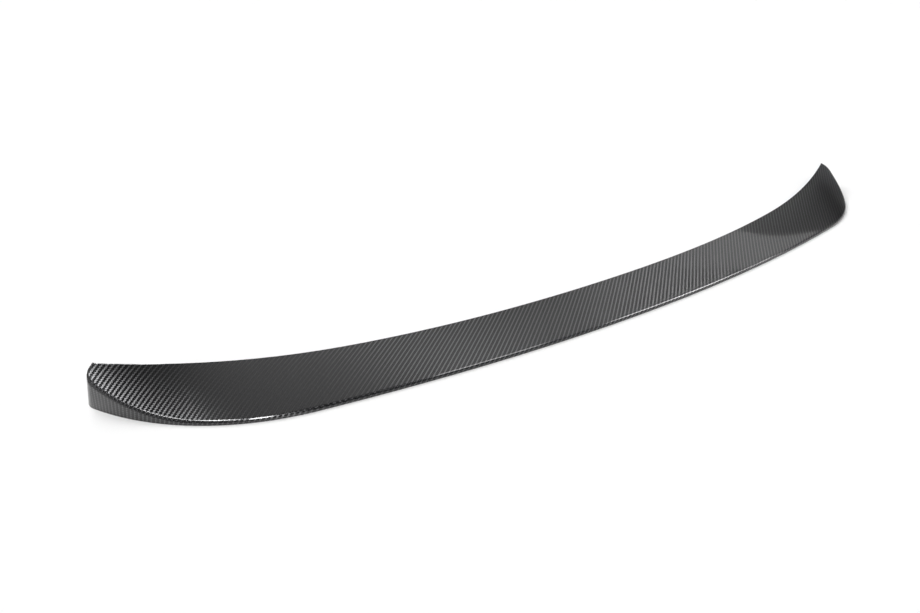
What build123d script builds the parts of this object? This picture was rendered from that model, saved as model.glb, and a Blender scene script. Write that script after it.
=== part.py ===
from build123d import *
import math
import os

# A rear spoiler for a car, moulded as one thin laminate shell: a long swept top, and a
# return that turns down along the trailing edge and grows into a side wall at each end.
# X runs across the car, +Y points to the front of the car and Z is up.
# The lower rim of the return lies in the plane Z = 0, and the origin is on the middle of
# that rim under the trailing edge. Sizes are in millimetres.

# Plan of the lower rim, from the middle of the trailing edge outwards
HALF_SPAN = 706.0           # half the overall width
TRAIL_RADIUS = 3150.0       # the nearly straight middle of the trailing edge
SHOULDER_REACH = 216.0      # the shoulder's sweep starts this far in from the end
SHOULDER_TURN = 46.8        # turn of that sweep, degrees
CORNER_RADIUS = 23.0        # the tight outer corner behind the tip
CORNER_LEAN = 38.0          # lean of the end inwards past the corner, degrees

# Plan of the leading edge
CHORD = 94.0                # depth of the spoiler in the middle, front to back
LEAD_RADIUS = 2990.0        # the middle of the leading edge
LEAD_REACH = 286.0          # the sweep forward to the tip starts this far in from the end
LEAD_END_RADIUS = 1090.0    # the radius of that sweep

# Heights of the top above the lower rim
TRAIL_HEIGHT = 4.5          # trailing edge in the middle
TRAIL_END_HEIGHT = 27.5     # trailing edge at the full width
RISE_START = 97.0           # the trailing edge rises over this distance from the end
LEAD_HEIGHT = 7.0           # leading edge in the middle
LEAD_END_HEIGHT = 46.0      # leading edge at the full width
LEAD_BOW = 3.4              # power of the distance out by which the leading edge rises

# Laminate
WALL = 2.0                  # thickness of the laminate
DRAFT = 12.5                # lean of the return for release from the mould, degrees
CREASE_RADIUS = 2.5         # rounding where the top turns down into the return

# Places across the top where its height is set, in half spans
STATIONS = (0.0, 0.2, 0.4, 0.6, 0.75, 0.84, 0.88, 0.92, 0.96, 1.0, 1.03)
MARGIN = 60.0               # how far the working blocks reach past the part

# The arcs of the rim and of the leading edge: where they start, and headings in radians
TRAIL_HALF = HALF_SPAN - SHOULDER_REACH
LEAD_HALF = HALF_SPAN - LEAD_REACH
trail_heading = math.asin(TRAIL_HALF / TRAIL_RADIUS)
shoulder_heading = trail_heading + math.radians(SHOULDER_TURN)
corner_heading = math.radians(90 + CORNER_LEAN)
lead_heading = math.asin(LEAD_HALF / LEAD_RADIUS)
corner_reach = CORNER_RADIUS * (1 - math.sin(shoulder_heading))
shoulder_radius = (SHOULDER_REACH - corner_reach) / (math.sin(shoulder_heading) - math.sin(trail_heading))


def trail_y(x):
    """The plan of the trailing edge at a distance x from the middle."""
    if x <= TRAIL_HALF:
        return TRAIL_RADIUS - math.sqrt(TRAIL_RADIUS**2 - x**2)
    centre_x = TRAIL_HALF - shoulder_radius * math.sin(trail_heading)
    centre_y = trail_y(TRAIL_HALF) + shoulder_radius * math.cos(trail_heading)
    return centre_y - math.sqrt(max(shoulder_radius**2 - (x - centre_x)**2, 0))


def lead_y(x):
    """The plan of the leading edge at a distance x from the middle."""
    if x <= LEAD_HALF:
        return CHORD + LEAD_RADIUS - math.sqrt(LEAD_RADIUS**2 - x**2)
    centre_x = LEAD_HALF - LEAD_END_RADIUS * math.sin(lead_heading)
    centre_y = lead_y(LEAD_HALF) + LEAD_END_RADIUS * math.cos(lead_heading)
    return centre_y - math.sqrt(LEAD_END_RADIUS**2 - (x - centre_x)**2)


def top_point(x, ahead):
    """The point of the top at x, as far ahead of the leading edge as given."""
    out = abs(x)
    risen = max(out - HALF_SPAN + RISE_START, 0) / RISE_START
    trail_z = TRAIL_HEIGHT + (TRAIL_END_HEIGHT - TRAIL_HEIGHT) * risen**2
    lead_z = LEAD_HEIGHT + (LEAD_END_HEIGHT - LEAD_HEIGHT) * (out / HALF_SPAN)**LEAD_BOW
    depth = max(lead_y(out) - trail_y(out), CORNER_RADIUS)
    slope = (lead_z - trail_z) / depth
    return (x, lead_y(out) + ahead, lead_z + slope * ahead)


def under_top(drop):
    """The block of everything under the top, with the top lowered by drop."""
    places = [-HALF_SPAN * s for s in reversed(STATIONS[1:])]
    places += [HALF_SPAN * s for s in STATIONS]
    far_line = Edge.make_spline([top_point(x, MARGIN) for x in places], parameters=places)
    near_line = Edge.make_spline([top_point(x, -CHORD - MARGIN) for x in places], parameters=places)
    top = Face.make_surface_from_curves(near_line, far_line)
    return Pos(0, 0, -drop) * extrude(top, amount=6 * MARGIN, dir=(0, 0, -1))


def rim_plan(inset):
    """The area inside the lower rim, less an inset, running on past the leading edge."""
    with BuildSketch() as plan:
        with BuildLine():
            turns = (trail_heading, shoulder_heading - trail_heading, corner_heading - shoulder_heading)
            radii = (TRAIL_RADIUS - inset, shoulder_radius - inset, CORNER_RADIUS - inset)
            trail = JernArc((0, inset), (1, 0), radii[0], math.degrees(turns[0]))
            shoulder = JernArc(trail @ 1, trail % 1, radii[1], math.degrees(turns[1]))
            corner = JernArc(shoulder @ 1, shoulder % 1, radii[2], math.degrees(turns[2]))
            run = Line(corner @ 1, corner @ 1 + (corner % 1) * 2 * MARGIN)
            Line(run @ 1, (0, (run @ 1).Y))
            mirror(about=Plane.YZ)
        make_face()
    return plan.sketch


def lead_plan():
    """The area behind the leading edge."""
    with BuildSketch() as plan:
        with BuildLine():
            lead = JernArc((0, CHORD), (1, 0), LEAD_RADIUS, math.degrees(lead_heading))
            past_end = HALF_SPAN + MARGIN / 2 - LEAD_HALF
            end_heading = math.asin(math.sin(lead_heading) + past_end / LEAD_END_RADIUS)
            end_turn = math.degrees(end_heading - lead_heading)
            end = JernArc(lead @ 1, lead % 1, LEAD_END_RADIUS, end_turn)
            side = Line(end @ 1, ((end @ 1).X, -MARGIN))
            Line(side @ 1, (0, -MARGIN))
            mirror(about=Plane.YZ)
        make_face()
    return plan.sketch


# The outside: the drafted return, closed by the top, before the leading edge is cut
tallest = 2 * LEAD_END_HEIGHT
outside = extrude(rim_plan(0), amount=tallest, taper=DRAFT) & under_top(0)

# The crease where the top turns down into the return
top = outside.faces().filter_by(GeomType.BSPLINE).sort_by(SortBy.AREA)[-1]
crease = top.edges().sort_by(SortBy.LENGTH)[:-1]    # all but the far side of the block
outside = fillet(crease, CREASE_RADIUS)

# The hollow underneath, open below and along the leading edge
inside = extrude(rim_plan(WALL), amount=tallest, taper=DRAFT) & under_top(WALL)
shell = (outside - inside) & extrude(lead_plan(), amount=2 * tallest)
shell = Pos(0, -WALL / 2, 0) * shell

os.makedirs("parts", exist_ok=True)
export_step(shell, "parts/spoiler_shell.step")
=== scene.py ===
"""A rear spoiler for a car, moulded as one thin carbon laminate shell."""

import math

import bmesh
import bpy
from bpy.props import FloatProperty, FloatVectorProperty, PointerProperty
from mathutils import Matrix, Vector

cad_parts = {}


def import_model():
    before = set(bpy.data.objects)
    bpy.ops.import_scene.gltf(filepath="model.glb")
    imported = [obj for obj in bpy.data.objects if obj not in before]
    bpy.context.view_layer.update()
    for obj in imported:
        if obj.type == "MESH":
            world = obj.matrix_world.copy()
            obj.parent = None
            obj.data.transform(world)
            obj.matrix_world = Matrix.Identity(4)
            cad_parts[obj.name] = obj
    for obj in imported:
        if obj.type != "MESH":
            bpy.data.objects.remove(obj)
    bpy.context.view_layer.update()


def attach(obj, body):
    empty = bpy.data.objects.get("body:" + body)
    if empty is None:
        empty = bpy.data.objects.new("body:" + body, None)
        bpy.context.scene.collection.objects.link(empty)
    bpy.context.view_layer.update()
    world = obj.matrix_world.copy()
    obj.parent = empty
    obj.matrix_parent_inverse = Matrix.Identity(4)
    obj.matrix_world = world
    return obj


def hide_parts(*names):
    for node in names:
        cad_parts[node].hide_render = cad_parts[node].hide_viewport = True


bl_info = {
    "name": "Rear Spoiler",
    "version": (1, 0, 0),
    "blender": (4, 5, 0),
    "location": "3D View > Sidebar > Spoiler",
    "description": "Builds a one-piece carbon rear spoiler and its studio",
    "category": "Add Mesh",
}

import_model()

MM = 0.001
QUARTER_TURN = math.radians(90)


def length(name, description, millimetres):
    """A size property in metres, given in millimetres."""
    return FloatProperty(
        name=name, description=description, default=millimetres * MM, unit="LENGTH", precision=4
    )


def angle(name, description, degrees):
    """An angle property, given in degrees."""
    return FloatProperty(
        name=name, description=description, default=math.radians(degrees), subtype="ANGLE"
    )


def light(name, description, level):
    """A light level, where 1 is white."""
    return FloatProperty(name=name, description=description, default=level, min=0)


def colour(name, description, value):
    """A colour property, linear red, green and blue."""
    return FloatVectorProperty(
        name=name, description=description, default=value, size=3, min=0, max=1, subtype="COLOR"
    )


class SpoilerSizes(bpy.types.PropertyGroup):
    """Plan, heights and laminate of the spoiler."""

    half_span: length("Half span", "Half the overall width", 706)
    trail_radius: length("Trail radius", "Middle of the trailing edge in plan", 3150)
    shoulder_reach: length("Shoulder reach", "The shoulder starts this far in from the end", 216)
    shoulder_turn: angle("Shoulder turn", "Turn of the shoulder's sweep", 46.8)
    corner_radius: length("Corner radius", "Tight outer corner behind the tip", 23)
    corner_lean: angle("Corner lean", "Lean of the end inwards past the corner", 38)
    chord: length("Chord", "Depth in the middle, front to back", 94)
    lead_radius: length("Lead radius", "Middle of the leading edge in plan", 2990)
    lead_reach: length("Lead reach", "The sweep to the tip starts this far in from the end", 286)
    lead_end_radius: length("Lead end radius", "Sweep of the leading edge to the tip", 1090)
    trail_height: length("Trail height", "Trailing edge above the rim, in the middle", 4.5)
    trail_end_height: length("Trail end height", "Trailing edge at the full width", 27.5)
    rise_start: length("Rise start", "The trailing edge rises over this distance", 97)
    lead_height: length("Lead height", "Leading edge above the rim, in the middle", 7)
    lead_end_height: length("Lead end height", "Leading edge at the full width", 46)
    lead_bow: FloatProperty(
        name="Lead bow", description="Power by which the leading edge rises", default=3.4
    )
    wall: length("Wall", "Thickness of the laminate", 2)
    draft: angle("Draft", "Lean of the return for release from the mould", 12.5)
    crease_radius: length("Crease radius", "Rounding where the top turns down", 2.5)
    edge_radius: length("Edge radius", "Rounding of the leading edge, on top", 1.6)
    edge_break: length("Edge break", "Broken corner of the leading edge, underneath", 0.3)


class CarbonFinish(bpy.types.PropertyGroup):
    """Weave and colours of the laminate."""

    warp_tow: length("Warp tow", "Spacing of the tows that run front to back", 1.95)
    weft_tow: length("Weft tow", "Spacing of the tows that run across", 1.65)
    tow_colour: colour("Tow colour", "Sheen of the carbon filaments", (0.10, 0.10, 0.102))
    # The gap colour is dark resin between the tows, and also painted shade where a tow's rounded
    # sides dip under
    gap_and_shade_colour: colour("Gap colour", "Dark resin where a tow dips under", (0.008, 0.008, 0.009))
    resin: colour("Resin", "Bare resin of the underside", (0.022, 0.022, 0.023))


class StudioSettings(bpy.types.PropertyGroup):
    """Floor, light and camera."""

    floor: colour("Floor", "Pale floor", (0.96, 0.96, 0.96))
    floor_width: length("Floor width", "Side of the square floor", 130000)
    wall_light: light("Wall light", "Light of the pale wall ahead", 1.0)
    panel_light: light("Panel light", "Light of the side panel", 0.7)
    fall_off: angle("Fall-off", "Heading at which the wall's light falls to the panel's", 40)
    room_light: light("Room light", "Light of the dim room, overhead", 0.012)
    ground_light: light("Ground light", "Light that the room pales to below the horizon", 1.0)
    wall_top: angle("Wall top", "Elevation of the tall wall's upper edge", 67.3)
    wall_facing: angle("Wall facing", "Heading that the tall wall stands at", 105.3)
    wall_end: angle("Wall end", "Heading at which the tall wall ends", 30.6)
    sill_top: angle("Sill top", "Elevation of the lower edge of the wall and the panel", 42.2)
    sill_facing: angle("Sill facing", "Heading that this lower edge stands at", 97)
    panel_top: angle("Panel top", "Elevation of the side panel's upper edge", 29.52)
    panel_facing: angle("Panel facing", "Heading that the side panel stands at", 58.4)
    panel_end: angle("Panel end", "Heading at which the side panel ends", 22)
    lens: FloatProperty(name="Lens", description="Focal length", default=24, unit="CAMERA")
    camera_place: FloatVectorProperty(
        name="Camera place",
        description="Where the camera stands",
        default=(-0.6272, -0.4933, 0.4491),
        subtype="TRANSLATION",
    )
    camera_aim: FloatVectorProperty(
        name="Camera aim",
        description="The direction it looks along",
        default=(0.44597, 0.73349, -0.51294),
        subtype="DIRECTION",
    )


class SpoilerForm:
    """The spoiler's surfaces, worked out from its sizes."""

    MIDDLE, SHOULDER, CORNER, RUN, TIP = range(5)
    CREASE_PASSES = 40      # passes in which the crease settles on the sloping top

    def __init__(self, size):
        self.size = size
        self.trail_half = size.half_span - size.shoulder_reach
        self.lead_half = size.half_span - size.lead_reach
        first = math.asin(self.trail_half / size.trail_radius)
        second = first + size.shoulder_turn
        third = QUARTER_TURN + size.corner_lean
        self.headings = (0.0, first, second, third)
        corner_reach = size.corner_radius * (1 - math.sin(second))
        across = math.sin(second) - math.sin(first)
        shoulder_radius = (size.shoulder_reach - corner_reach) / across
        self.radii = (size.trail_radius, shoulder_radius, size.corner_radius)
        # Centres of the rim's three arcs, each tangent to the one before
        self.centres = [Vector((0, size.trail_radius))]
        for heading, before, after in zip(self.headings[1:], self.radii, self.radii[1:]):
            self.centres.append(self.centres[-1] + self.outward(heading) * (before - after))
        lead_heading = math.asin(self.lead_half / size.lead_radius)
        lead_middle = Vector((0, size.chord + size.lead_radius))
        change = size.lead_radius - size.lead_end_radius
        self.lead_centre = lead_middle + self.outward(lead_heading) * change

    @staticmethod
    def outward(heading):
        """The plan direction out of the rim where its outline has that heading."""
        return Vector((math.sin(heading), -math.cos(heading)))

    def heading(self, along):
        """The outline's heading at a place along it, from MIDDLE to TIP."""
        stretch = min(int(along), self.CORNER)
        part = min(along - stretch, 1)
        start, end = self.headings[stretch:stretch + 2]
        return start + part * (end - start)

    def outline(self, inset, along):
        """A plan point of the rim's outline, moved in by inset, which ends at the leading edge."""
        stretch = min(int(along), self.CORNER)
        out = self.outward(self.heading(along))
        point = self.centres[stretch] + out * (self.radii[stretch] - inset)
        if along <= self.RUN:
            return point
        # Past the corner the outline runs straight until it meets the leading edge's arc
        ahead = Vector((-out.y, out.x))
        away = point - self.lead_centre
        half_way = away.dot(ahead)
        apart = half_way**2 - away.length_squared + self.size.lead_end_radius**2
        reach = -half_way - math.sqrt(apart)
        return point + ahead * reach * (along - self.RUN)

    def trail_y(self, x):
        """The trailing edge's plan at a distance x from the middle."""
        stretch = self.MIDDLE if x <= self.trail_half else self.SHOULDER
        centre, radius = self.centres[stretch], self.radii[stretch]
        return centre.y - math.sqrt(max(radius**2 - (x - centre.x) ** 2, 0))

    def lead_y(self, x):
        """The leading edge's plan at a distance x from the middle."""
        if x <= self.lead_half:
            radius = self.size.lead_radius
            return self.size.chord + radius - math.sqrt(radius**2 - x**2)
        radius = self.size.lead_end_radius
        return self.lead_centre.y - math.sqrt(radius**2 - (x - self.lead_centre.x) ** 2)

    def top_z(self, point):
        """Height of the top over a plan point."""
        size = self.size
        out = abs(point.x)
        risen = max(out - size.half_span + size.rise_start, 0) / size.rise_start
        trail_z = size.trail_height + (size.trail_end_height - size.trail_height) * risen**2
        bow = (out / size.half_span) ** size.lead_bow
        lead_z = size.lead_height + (size.lead_end_height - size.lead_height) * bow
        depth = max(self.lead_y(out) - self.trail_y(out), size.corner_radius)
        return lead_z + (lead_z - trail_z) / depth * (point.y - self.lead_y(out))

    def crease(self, along, gap):
        """Inset and height where the return, gap inside the outside, meets the top."""
        inset = gap
        for _ in range(self.CREASE_PASSES):
            height = self.top_z(self.outline(inset, along)) - gap
            inset = gap + height * math.tan(self.size.draft)
        return inset, height


class SpoilerSection:
    """One cut across the spoiler: rows of points, each a place and its spot on the cloth."""

    TOP_ROWS = 34
    ROUND_ROWS = 10
    RETURN_ROWS = 8
    EDGE_ROWS = 5
    INNER_ROUND = 0.25      # the inner crease's radius, as a share of the outer one's
    SLOPE_STEP = 0.25       # step over which the top's slope is taken, in walls
    EDGE_SHARE = 0.25       # the most of a short section that its leading edge takes up

    def __init__(self, form, along, lead_x):
        self.form = form
        self.along = along
        self.lead_x = lead_x
        self.out = form.outward(form.heading(along))
        self.places = []
        self.cloth = []

    def add(self, plan, height, cloth):
        """Add a point over a plan point, with its spot on the cloth."""
        self.places.append(Vector((plan.x, plan.y, height)))
        self.cloth.append(cloth)

    @staticmethod
    def spread(rows):
        """Fractions from 0 to 1, closer together at both ends."""
        return [(1 - math.cos(math.pi * row / rows)) / 2 for row in range(rows + 1)]

    def rounding(self, gap, radius):
        """Start, corner and end of the rounded crease, as insets and heights, and its weight."""
        form, size = self.form, self.form.size
        inset, height = form.crease(self.along, gap)
        step = size.wall * self.SLOPE_STEP
        rise = form.top_z(form.outline(inset + step, self.along)) - gap - height
        slope = math.atan2(rise, step)
        turn = QUARTER_TURN - size.draft + slope
        reach = min(radius * math.tan(turn / 2), height / 2)
        start = (inset + reach * math.cos(slope), height + reach * math.sin(slope))
        end = (inset - reach * math.sin(size.draft), height - reach * math.cos(size.draft))
        return start, (inset, height), end, math.cos(turn / 2)

    def arc(self, start, corner, end, weight):
        """Insets and heights along the rounded crease."""
        made = []
        for row in range(self.ROUND_ROWS + 1):
            part = row / self.ROUND_ROWS
            shares = ((1 - part) ** 2, 2 * part * (1 - part) * weight, part**2)
            weighed = list(zip(shares, (start, corner, end)))
            inset = sum(share * point[0] for share, point in weighed) / sum(shares)
            height = sum(share * point[1] for share, point in weighed) / sum(shares)
            made.append((inset, height))
        return made

    def turned_down(self, gap, radius):
        """Insets, heights and cloth drops from the start of the rounding to the rim."""
        start, corner, end, weight = self.rounding(gap, radius)
        path = self.arc(start, corner, end, weight)
        for part in self.spread(self.RETURN_ROWS)[1:]:
            height = end[1] * (1 - part)
            path.append((gap + height * math.tan(self.form.size.draft), height))
        drop, made, last = 0.0, [], path[0]
        for inset, height in path:
            drop += math.hypot(inset - last[0], height - last[1])
            made.append((inset, height, drop))
            last = (inset, height)
        return made

    def top(self, lead, fold, drop):
        """Rows of the top, or of its inside, from near the leading edge to the fold."""
        made = []
        for part in self.spread(self.TOP_ROWS)[:-1]:
            plan = lead.lerp(fold, part)
            made.append((plan, self.form.top_z(plan) - drop))
        return made

    def lead_edge(self, lead, start, inner_start):
        """Rows round the leading edge, from its corner underneath to its rounding on top."""
        top = self.form.top_z(lead)
        under = top - self.form.size.wall
        lower, upper = (lead - inner_start).length, (lead - start).length
        made = []
        for row in range(1, self.EDGE_ROWS + 1):
            swing = QUARTER_TURN * row / self.EDGE_ROWS
            plan = inner_start.lerp(lead, math.sin(swing))
            made.append((plan, under + lower * (1 - math.cos(swing))))
        for row in range(self.EDGE_ROWS):
            swing = QUARTER_TURN * row / self.EDGE_ROWS
            plan = start.lerp(lead, math.cos(swing))
            made.append((plan, top - upper * (1 - math.sin(swing))))
        return made

    def build(self):
        """Rows from the leading edge over the top, down the return, and back inside."""
        form, size = self.form, self.form.size
        outside = self.turned_down(0, size.crease_radius)
        inside = self.turned_down(size.wall, size.crease_radius * self.INNER_ROUND)
        lead = Vector((self.lead_x, form.lead_y(self.lead_x)))
        fold = form.outline(outside[0][0], self.along)
        inner_fold = form.outline(inside[0][0], self.along)
        depth = max((fold - lead).length, size.edge_radius)
        start = lead.lerp(fold, min(size.edge_radius / depth, self.EDGE_SHARE))
        inner_start = lead.lerp(fold, min(size.edge_break / depth, self.EDGE_SHARE))
        for plan, height in self.top(start, fold, 0):
            self.add(plan, height, plan)
        for inset, height, drop in outside:
            self.add(form.outline(inset, self.along), height, fold + self.out * drop)
        for inset, height, drop in reversed(inside):
            self.add(form.outline(inset, self.along), height, inner_fold + self.out * drop)
        for plan, height in reversed(self.top(inner_start, inner_fold, size.wall)):
            self.add(plan, height, plan)
        for plan, height in self.lead_edge(lead, start, inner_start):
            self.add(plan, height, plan)
        return self


OUTLINE_STEPS = (130, 90, 36, 10)   # sections on the middle, shoulder, corner and run
LEAD_CROWDING = 4                   # power by which the leading edge's points close up
WELD = 0.001 * MM                   # points this close are one
SHARP = math.radians(32)            # edges that turn more than this stay sharp
OUTSIDE, INSIDE = 0, 1              # the shell's material slots


def outline_places(form):
    """Places along half the outline, closer together where it turns."""
    places = []
    for stretch, steps in enumerate(OUTLINE_STEPS):
        places += [stretch + step / steps for step in range(steps)]
    return places + [float(form.TIP)]


def half_sections(form):
    """Sections from the middle to the tip, with the leading edge's points shared out."""
    places = outline_places(form)
    folds = []
    for along in places:
        probe = SpoilerSection(form, along, 0)
        start = probe.rounding(0, form.size.crease_radius)[0]
        folds.append(form.outline(start[0], along))
    walked = [0.0]
    for before, after in zip(folds, folds[1:]):
        walked.append(walked[-1] + (after - before).length)
    whole, tip_x = walked[-1], folds[-1].x
    made = []
    for along, gone in zip(places, walked):
        lead_x = gone - (whole - tip_x) * (gone / whole) ** LEAD_CROWDING
        made.append(SpoilerSection(form, along, lead_x).build())
    return made


def mirrored(section):
    """The same section on the other side."""
    other = SpoilerSection(section.form, section.along, section.lead_x)
    other.places = [Vector((-p.x, p.y, p.z)) for p in section.places]
    other.cloth = [Vector((-c.x, c.y)) for c in section.cloth]
    return other


def join_sections(bm, grid):
    """Faces between the rows of points of neighbouring sections, and the two end faces."""
    turned = SpoilerSection.ROUND_ROWS + SpoilerSection.RETURN_ROWS + 1
    inner_from = SpoilerSection.TOP_ROWS + turned
    inner_to = inner_from + turned + SpoilerSection.TOP_ROWS - 1
    count = len(grid[0])
    for left, right in zip(grid, grid[1:]):
        for row in range(count):
            after = (row + 1) % count
            face = bm.faces.new((left[row], left[after], right[after], right[row]))
            face.material_index = INSIDE if inner_from <= row < inner_to else OUTSIDE
            face.smooth = True
    bmesh.ops.remove_doubles(bm, verts=bm.verts, dist=WELD)
    ends = bmesh.ops.holes_fill(bm, edges=[e for e in bm.edges if e.is_boundary])["faces"]
    bmesh.ops.triangulate(bm, faces=ends)
    bmesh.ops.recalc_face_normals(bm, faces=bm.faces)


def spoiler_mesh(size):
    """The whole shell as a closed mesh, with its cloth laid out in metres."""
    half = half_sections(SpoilerForm(size))
    sections = [mirrored(s) for s in reversed(half[1:])] + half
    shift = Vector((0, -size.wall / 2, 0))
    bm = bmesh.new()
    spot = bm.verts.layers.float_vector.new("cloth_spot")
    grid = []
    for section in sections:
        row = []
        for place, cloth in zip(section.places, section.cloth):
            vert = bm.verts.new(place + shift)
            vert[spot] = cloth.to_3d()
            row.append(vert)
        grid.append(row)
    join_sections(bm, grid)
    layer = bm.loops.layers.uv.new("cloth")
    for face in bm.faces:
        for loop in face.loops:
            loop[layer].uv = loop.vert[spot].xy
    mesh = bpy.data.meshes.new("spoiler_shell_skin")
    bm.to_mesh(mesh)
    bm.free()
    mesh.set_sharp_from_angle(angle=SHARP)
    return mesh


class NodeSheet:
    """The nodes of a material or a world, with short ways to add and join them."""

    # The mix node's sockets for a share, two values and the result, by type of value
    MIX_SOCKETS = {"FLOAT": ((0, 2, 3), 0), "RGBA": ((0, 6, 7), 2)}

    def __init__(self, owner):
        owner.use_nodes = True
        self.tree = owner.node_tree
        self.tree.nodes.clear()

    def add(self, kind, **settings):
        """A new node with its settings."""
        node = self.tree.nodes.new(kind)
        for key, value in settings.items():
            setattr(node, key, value)
        return node

    def put(self, socket, value):
        """Set a socket to a value, or link it to another node's output."""
        if isinstance(value, bpy.types.NodeSocket):
            self.tree.links.new(value, socket)
        else:
            socket.default_value = value

    def math(self, operation, *values):
        """The result of an operation on values or outputs."""
        node = self.add("ShaderNodeMath", operation=operation)
        for socket, value in zip(node.inputs, values):
            self.put(socket, value)
        return node.outputs[0]

    def mix(self, data_type, values, **settings):
        """A mix node for numbers or colours."""
        inputs, output = self.MIX_SOCKETS[data_type]
        node = self.add("ShaderNodeMix", data_type=data_type, **settings)
        for place, value in zip(inputs, values):
            self.put(node.inputs[place], value)
        return node.outputs[output]

    def pick(self, share, low, high):
        """low where share is 0, high where it is 1, for numbers."""
        return self.mix("FLOAT", (share, low, high))

    def blend(self, share, low, high, blend_type="MIX"):
        """The same for colours."""
        return self.mix("RGBA", (share, low, high), blend_type=blend_type)

    def relief(self, height, strength, depth):
        """The normal of a bumpy surface."""
        bump = self.add("ShaderNodeBump")
        self.put(bump.inputs["Strength"], strength)
        self.put(bump.inputs["Distance"], depth)
        self.put(bump.inputs["Height"], height)
        return bump.outputs[0]

    def show(self, shader, kind="ShaderNodeOutputMaterial"):
        """Join a shader to the output of the material or the world."""
        self.put(self.add(kind).inputs["Surface"], shader.outputs[0])


TWILL_REPEAT = 4.0      # tows after which the twill repeats
TWILL_FLOAT = 2.0       # tows that a tow passes over before it dips under
FILAMENTS = 9.0         # streaks across one tow
FILAMENT_DRIFT = 0.6    # changes of a streak along one tow's width
FILAMENT_DETAIL = 2.0   # finer streaks within them


def twill(sheet, finish):
    """The 2 by 2 twill: which tow is on top, how high it stands, and its filaments."""
    cloth = sheet.add("ShaderNodeUVMap", uv_map="cloth")
    apart = sheet.add("ShaderNodeSeparateXYZ")
    sheet.put(apart.inputs[0], cloth.outputs[0])
    across = sheet.math("DIVIDE", apart.outputs[0], finish.warp_tow)
    along = sheet.math("DIVIDE", apart.outputs[1], finish.weft_tow)
    column = sheet.math("FLOOR", across)
    line = sheet.math("FLOOR", along)

    def past(place, start):
        """How far a place is past a start, within one repeat."""
        return sheet.math("FLOORED_MODULO", sheet.math("SUBTRACT", place, start), TWILL_REPEAT)

    warp_up = sheet.math("LESS_THAN", past(column, line), TWILL_FLOAT - 0.5)
    # Place across the tow that is on top, from -1 to 1, and along its float, from 0 to 1
    side = sheet.pick(warp_up, sheet.math("FRACT", along), sheet.math("FRACT", across))
    side = sheet.math("MULTIPLY_ADD", side, 2.0, -1.0)
    warp_run = past(along, sheet.math("SUBTRACT", column, 1.0))
    weft_run = past(across, sheet.math("ADD", line, TWILL_FLOAT))
    run = sheet.math("DIVIDE", sheet.pick(warp_up, weft_run, warp_run), TWILL_FLOAT)
    # The tow is round across, and swells from where it comes up to where it dips
    crown = sheet.math("SUBTRACT", 1.0, sheet.math("MULTIPLY", side, side))
    crown = sheet.math("SQRT", sheet.math("MAXIMUM", crown, 0.0))
    swell = sheet.math("SINE", sheet.math("MULTIPLY", run, math.pi))
    height = sheet.math("MULTIPLY", crown, swell)
    # Filaments: fine streaks along the tow that is on top
    spot = sheet.add("ShaderNodeCombineXYZ")
    across_scale = sheet.pick(warp_up, FILAMENT_DRIFT, FILAMENTS)
    along_scale = sheet.pick(warp_up, FILAMENTS, FILAMENT_DRIFT)
    sheet.put(spot.inputs[0], sheet.math("MULTIPLY", across, across_scale))
    sheet.put(spot.inputs[1], sheet.math("MULTIPLY", along, along_scale))
    streak = sheet.add("ShaderNodeTexNoise", noise_dimensions="2D")
    sheet.put(streak.inputs["Vector"], spot.outputs[0])
    sheet.put(streak.inputs["Scale"], 1.0)
    sheet.put(streak.inputs["Detail"], FILAMENT_DETAIL)
    return warp_up, height, streak.outputs["Fac"]


# Gloss carbon. A pair is what a pattern is multiplied by, and what is added to that
TOW_FILL = 1.5                      # how fast a tow gains its full tone from its edge; nearer the edge it fades to dark resin and painted shade
TOW_STREAKS = (0.8, 0.5)            # tone by the filaments
WEFT_PAINTED_SHEEN, WARP_PAINTED_SHADE = 1.3, 0.4     # painted sheen and shade: tows that run across are painted lighter, those that run front to back darker, to show the twill
TOW_ROUGHNESS = (0.08, 0.36)        # roughness by the filaments
TOW_STRETCH = 0.95                  # how far the sheen is drawn out across the filaments
TOW_RELIEF = (0.2, 0.12 * MM)       # strength and depth of the bumps
WEFT_SHEEN, WARP_SHEEN = 0.25, 0.0  # direction of the sheen, in turns
COAT_ROUGHNESS = 0.025
COAT_IOR = 1.5

# Bare laminate, in the same way
BARE_PAINTED_SHADE = (0.9, 0.55)          # painted shade: tone by the height of the tow, darker down its sides and in its dips
BARE_STREAKS = (0.8, 0.6)           # tone by the filaments
BARE_PAINTED_SHEEN = (0.5, 0.75)             # painted sheen: tone by which tow is on top, the tows that run front to back lighter
BARE_ROUGHNESS = (0.25, 0.42)       # roughness by the filaments
BARE_RELIEF = (0.6, 0.2 * MM)       # strength and depth of the bumps


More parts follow.
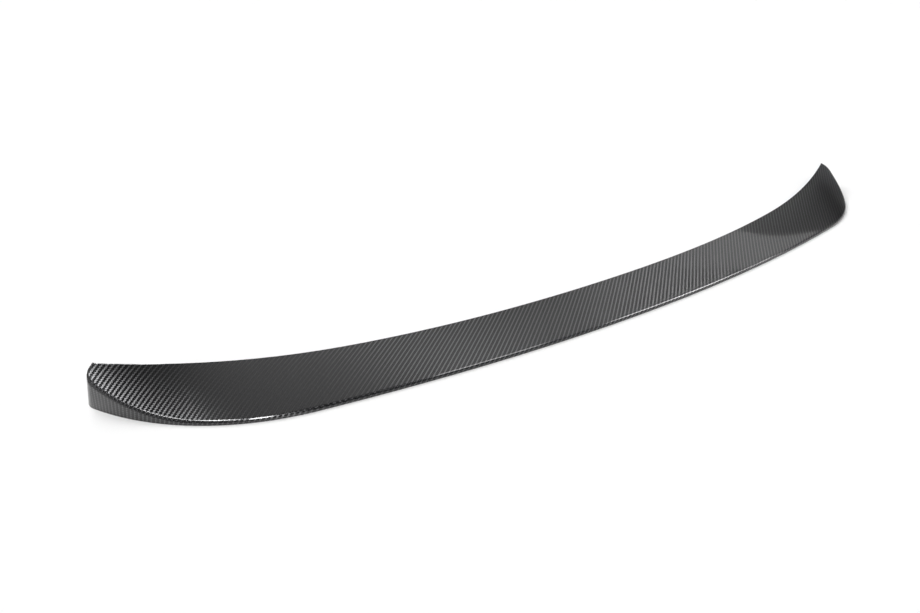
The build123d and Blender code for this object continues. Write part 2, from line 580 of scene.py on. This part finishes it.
def gloss_carbon(finish):
    """Carbon twill under a clear, polished coat."""
    material = bpy.data.materials.new("gloss_carbon_twill")
    sheet = NodeSheet(material)
    warp_up, height, streak = twill(sheet, finish)
    # Painted shade: toward its edges and where it dips under, the tow fades to the gap colour,
    # over the dark resin there
    full = sheet.math("MINIMUM", sheet.math("MULTIPLY", height, TOW_FILL), 1.0)
    lit = sheet.math("MULTIPLY", full, sheet.math("MULTIPLY_ADD", streak, *TOW_STREAKS))
    # Painted sheen and shade: the weft tows are painted lighter, the warp tows darker
    lit = sheet.math("MULTIPLY", lit, sheet.pick(warp_up, WEFT_PAINTED_SHEEN, WARP_PAINTED_SHADE))
    shade = sheet.blend(lit, (*finish.gap_and_shade_colour, 1), (*finish.tow_colour, 1))
    tangent = sheet.add("ShaderNodeTangent", direction_type="UV_MAP", uv_map="cloth")
    shader = sheet.add("ShaderNodeBsdfPrincipled")
    sheet.put(shader.inputs["Base Color"], shade)
    shader.inputs["Metallic"].default_value = 1.0
    sheet.put(shader.inputs["Roughness"], sheet.math("MULTIPLY_ADD", streak, *TOW_ROUGHNESS))
    shader.inputs["Anisotropic"].default_value = TOW_STRETCH
    # The sheen spreads across the filaments, so it turns a quarter from warp to weft
    sheen_turn = sheet.pick(warp_up, WEFT_SHEEN, WARP_SHEEN)
    sheet.put(shader.inputs["Anisotropic Rotation"], sheen_turn)
    sheet.put(shader.inputs["Tangent"], tangent.outputs[0])
    sheet.put(shader.inputs["Normal"], sheet.relief(height, *TOW_RELIEF))
    shader.inputs["Coat Weight"].default_value = 1.0
    shader.inputs["Coat Roughness"].default_value = COAT_ROUGHNESS
    shader.inputs["Coat IOR"].default_value = COAT_IOR
    sheet.show(shader)
    return material


def bare_laminate(finish):
    """The inside face: the same cloth under thin, dull resin."""
    material = bpy.data.materials.new("bare_laminate_inside")
    sheet = NodeSheet(material)
    warp_up, height, streak = twill(sheet, finish)
    # Painted shade: the tow is darker where it is lower
    lit = sheet.math("MULTIPLY_ADD", height, *BARE_PAINTED_SHADE)
    lit = sheet.math("MULTIPLY", lit, sheet.math("MULTIPLY_ADD", streak, *BARE_STREAKS))
    # Painted sheen: the warp tows are painted lighter than the weft tows
    lit = sheet.math("MULTIPLY", lit, sheet.math("MULTIPLY_ADD", warp_up, *BARE_PAINTED_SHEEN))
    grey = sheet.add("ShaderNodeCombineXYZ")
    for socket in grey.inputs:
        sheet.put(socket, lit)
    shade = sheet.blend(1.0, (*finish.resin, 1), grey.outputs[0], "MULTIPLY")
    shader = sheet.add("ShaderNodeBsdfPrincipled")
    sheet.put(shader.inputs["Base Color"], shade)
    sheet.put(shader.inputs["Roughness"], sheet.math("MULTIPLY_ADD", streak, *BARE_ROUGHNESS))
    sheet.put(shader.inputs["Normal"], sheet.relief(height, *BARE_RELIEF))
    sheet.show(shader)
    return material


class SPOILER_OT_shell(bpy.types.Operator):
    """Build the spoiler's shell with its carbon cloth"""

    bl_idname = "spoiler.shell"
    bl_label = "Spoiler Shell"

    def execute(self, context):
        mesh = spoiler_mesh(context.scene.spoiler_sizes)
        finish = context.scene.spoiler_finish
        mesh.materials.append(gloss_carbon(finish))
        mesh.materials.append(bare_laminate(finish))
        shell = bpy.data.objects.new("spoiler_skin", mesh)
        context.scene.collection.objects.link(shell)
        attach(shell, "root")
        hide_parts("spoiler_shell")
        return {"FINISHED"}


FLOOR_GLOW = 0.2        # share of plain white that the camera and mirrors see in the floor

# How softly the lights of the world end, as the sine of half the angle they fade over
WALL_TOP_FADE = 0.2
WALL_END_FADE = 0.007
PANEL_TOP_FADE = 0.003
PANEL_END_FADE = 0.01
SILL_FADE = 0.12
FALL_OFF_FADE = 0.2
HORIZON_FADE = 0.37

# Softboxes: name, place, target, width and height, and power in watts
SOFTBOXES = (
    ("front_strip", (-1.135, -0.763, 1.513), (-0.68, 0.17, 0.03), (0.25, 0.9), 22),
    ("overhead_softbox", (-1.31, -0.05, 1.65), (-0.6, 0.1, 0), (0.42, 0.35), 16),
    ("side_softbox", (2.24, -0.37, 2.13), (0.15, 0, 0), (1.0, 1.05), 60),
    ("top_softbox", (0.55, -0.05, 1.85), (0, 0.05, 0), (1.2, 0.6), 16),
    ("low_softbox", (2.62, -0.62, 1.35), (0.45, 0.1, 0), (0.35, 0.3), 6),
)

# Suns: name, direction, spread in degrees and strength
SUNS = (
    ("back_key", (0.12, -0.735, -0.67), 40, 2.7),
    ("front_fill", (0.25, 0.43, -0.87), 60, 1.2),
)

SENSOR_WIDTH = 36       # millimetres


def pale_floor(studio):
    """A pale floor, which the camera and mirrors see with a share of plain white added."""
    material = bpy.data.materials.new("pale_floor")
    sheet = NodeSheet(material)
    diffuse = sheet.add("ShaderNodeBsdfDiffuse")
    diffuse.inputs["Color"].default_value = (*studio.floor, 1)
    glow = sheet.add("ShaderNodeEmission")
    mix = sheet.add("ShaderNodeMixShader")
    path = sheet.add("ShaderNodeLightPath")
    seen = sheet.math("MAXIMUM", path.outputs["Is Camera Ray"], path.outputs["Is Glossy Ray"])
    seen = sheet.math("MAXIMUM", seen, path.outputs["Is Transmission Ray"])
    sheet.put(mix.inputs[0], sheet.math("MULTIPLY", seen, FLOOR_GLOW))
    sheet.put(mix.inputs[1], diffuse.outputs[0])
    sheet.put(mix.inputs[2], glow.outputs[0])
    sheet.show(mix)
    return material


def studio_world(studio):
    """A tall pale wall ahead and a low panel beside it, in a dim room that pales downwards."""
    world = bpy.data.worlds.new("studio_world")
    sheet = NodeSheet(world)
    place = sheet.add("ShaderNodeTexCoord")

    def side(normal, fade):
        """1 on the side of a plane that its normal points to, 0 on the other."""
        past = sheet.add("ShaderNodeVectorMath", operation="DOT_PRODUCT")
        sheet.put(past.inputs[0], place.outputs["Generated"])
        past.inputs[1].default_value = normal
        level = sheet.add("ShaderNodeMapRange", interpolation_type="SMOOTHSTEP")
        sheet.put(level.inputs["Value"], past.outputs["Value"])
        level.inputs["From Min"].default_value = -fade
        level.inputs["From Max"].default_value = fade
        return level.outputs[0]

    def under(facing, top, fade):
        """1 below a slanting plane that stands at a heading, and has that elevation there."""
        rise = math.sin(top)
        normal = (rise * math.cos(facing), rise * math.sin(facing), -math.cos(top))
        return side(normal, fade)

    def before(end, fade):
        """1 up to a heading on the right."""
        return side((-math.sin(end), math.cos(end), 0), fade)

    wall = sheet.math(
        "MULTIPLY",
        under(studio.wall_facing, studio.wall_top, WALL_TOP_FADE),
        before(studio.wall_end, WALL_END_FADE),
    )
    panel = sheet.math(
        "MULTIPLY",
        under(studio.panel_facing, studio.panel_top, PANEL_TOP_FADE),
        before(studio.panel_end, PANEL_END_FADE),
    )
    sill = under(studio.sill_facing, studio.sill_top, SILL_FADE)
    above_sill = sheet.math("SUBTRACT", 1.0, sill)
    pale = sheet.math("MULTIPLY", sheet.math("MAXIMUM", wall, panel), above_sill)
    on_wall = before(studio.fall_off, FALL_OFF_FADE)
    pale_light = sheet.pick(on_wall, studio.panel_light, studio.wall_light)
    below = side((0, 0, -1), HORIZON_FADE)
    dim_light = sheet.pick(below, studio.room_light, studio.ground_light)
    sky = sheet.add("ShaderNodeBackground")
    sheet.put(sky.inputs["Strength"], sheet.pick(pale, dim_light, pale_light))
    sheet.show(sky, "ShaderNodeOutputWorld")
    return world


def aimed(name, data, place, direction):
    """A lamp or a camera at a place in the scene, which points in a direction."""
    made = bpy.data.objects.new(name, data)
    made.location = place
    made.rotation_euler = Vector(direction).to_track_quat("-Z", "Y").to_euler()
    bpy.context.scene.collection.objects.link(made)
    return made


def softbox(name, place, target, size, power):
    """A rectangular light that faces a target and is seen in glossy surfaces only."""
    data = bpy.data.lights.new(name, "AREA")
    data.shape = "RECTANGLE"
    data.size, data.size_y = size
    data.energy = power
    lamp = aimed(name, data, place, Vector(target) - Vector(place))
    lamp.visible_diffuse = False


def soft_sun(name, direction, spread, strength):
    """A wide sun that lights the floor and dull surfaces, and makes no glint."""
    data = bpy.data.lights.new(name, "SUN")
    data.energy = strength
    data.angle = math.radians(spread)
    lamp = aimed(name, data, (0, 0, 0), direction)
    lamp.visible_glossy = False


class SPOILER_OT_studio(bpy.types.Operator):
    """Set up the floor, the light and the camera"""

    bl_idname = "spoiler.studio"
    bl_label = "Studio"

    def execute(self, context):
        scene, studio = context.scene, context.scene.spoiler_studio
        bpy.ops.mesh.primitive_plane_add(size=studio.floor_width)
        floor = context.object
        floor.name = "pale_floor"
        floor.data.materials.append(pale_floor(studio))
        scene.world = studio_world(studio)
        for settings in SOFTBOXES:
            softbox(*settings)
        for settings in SUNS:
            soft_sun(*settings)
        data = bpy.data.cameras.new("camera")
        data.lens = studio.lens
        data.sensor_width = SENSOR_WIDTH
        data.sensor_fit = "HORIZONTAL"
        scene.camera = aimed("camera", data, studio.camera_place, studio.camera_aim)
        scene.view_settings.view_transform = "Standard"
        return {"FINISHED"}


class SPOILER_PT_sidebar(bpy.types.Panel):
    """Sizes, finish and studio of the spoiler"""

    bl_idname = "SPOILER_PT_sidebar"
    bl_label = "Rear Spoiler"
    bl_space_type = "VIEW_3D"
    bl_region_type = "UI"
    bl_category = "Spoiler"

    def draw(self, context):
        scene = context.scene
        for group in (scene.spoiler_sizes, scene.spoiler_finish, scene.spoiler_studio):
            box = self.layout.box()
            for name in group.__annotations__:
                box.prop(group, name)
        for operator in (SPOILER_OT_shell, SPOILER_OT_studio):
            self.layout.operator(operator.bl_idname)


CLASSES = (
    SpoilerSizes,
    CarbonFinish,
    StudioSettings,
    SPOILER_OT_shell,
    SPOILER_OT_studio,
    SPOILER_PT_sidebar,
)


def register():
    """Add the classes, and the settings to the scene."""
    for cls in CLASSES:
        bpy.utils.register_class(cls)
    bpy.types.Scene.spoiler_sizes = PointerProperty(type=SpoilerSizes)
    bpy.types.Scene.spoiler_finish = PointerProperty(type=CarbonFinish)
    bpy.types.Scene.spoiler_studio = PointerProperty(type=StudioSettings)


def unregister():
    """Take them away again."""
    del bpy.types.Scene.spoiler_studio
    del bpy.types.Scene.spoiler_finish
    del bpy.types.Scene.spoiler_sizes
    for cls in reversed(CLASSES):
        bpy.utils.unregister_class(cls)


def main():
    """Build the spoiler and its studio."""
    register()
    bpy.ops.spoiler.shell()
    bpy.ops.spoiler.studio()


if __name__ == "__main__":
    main()
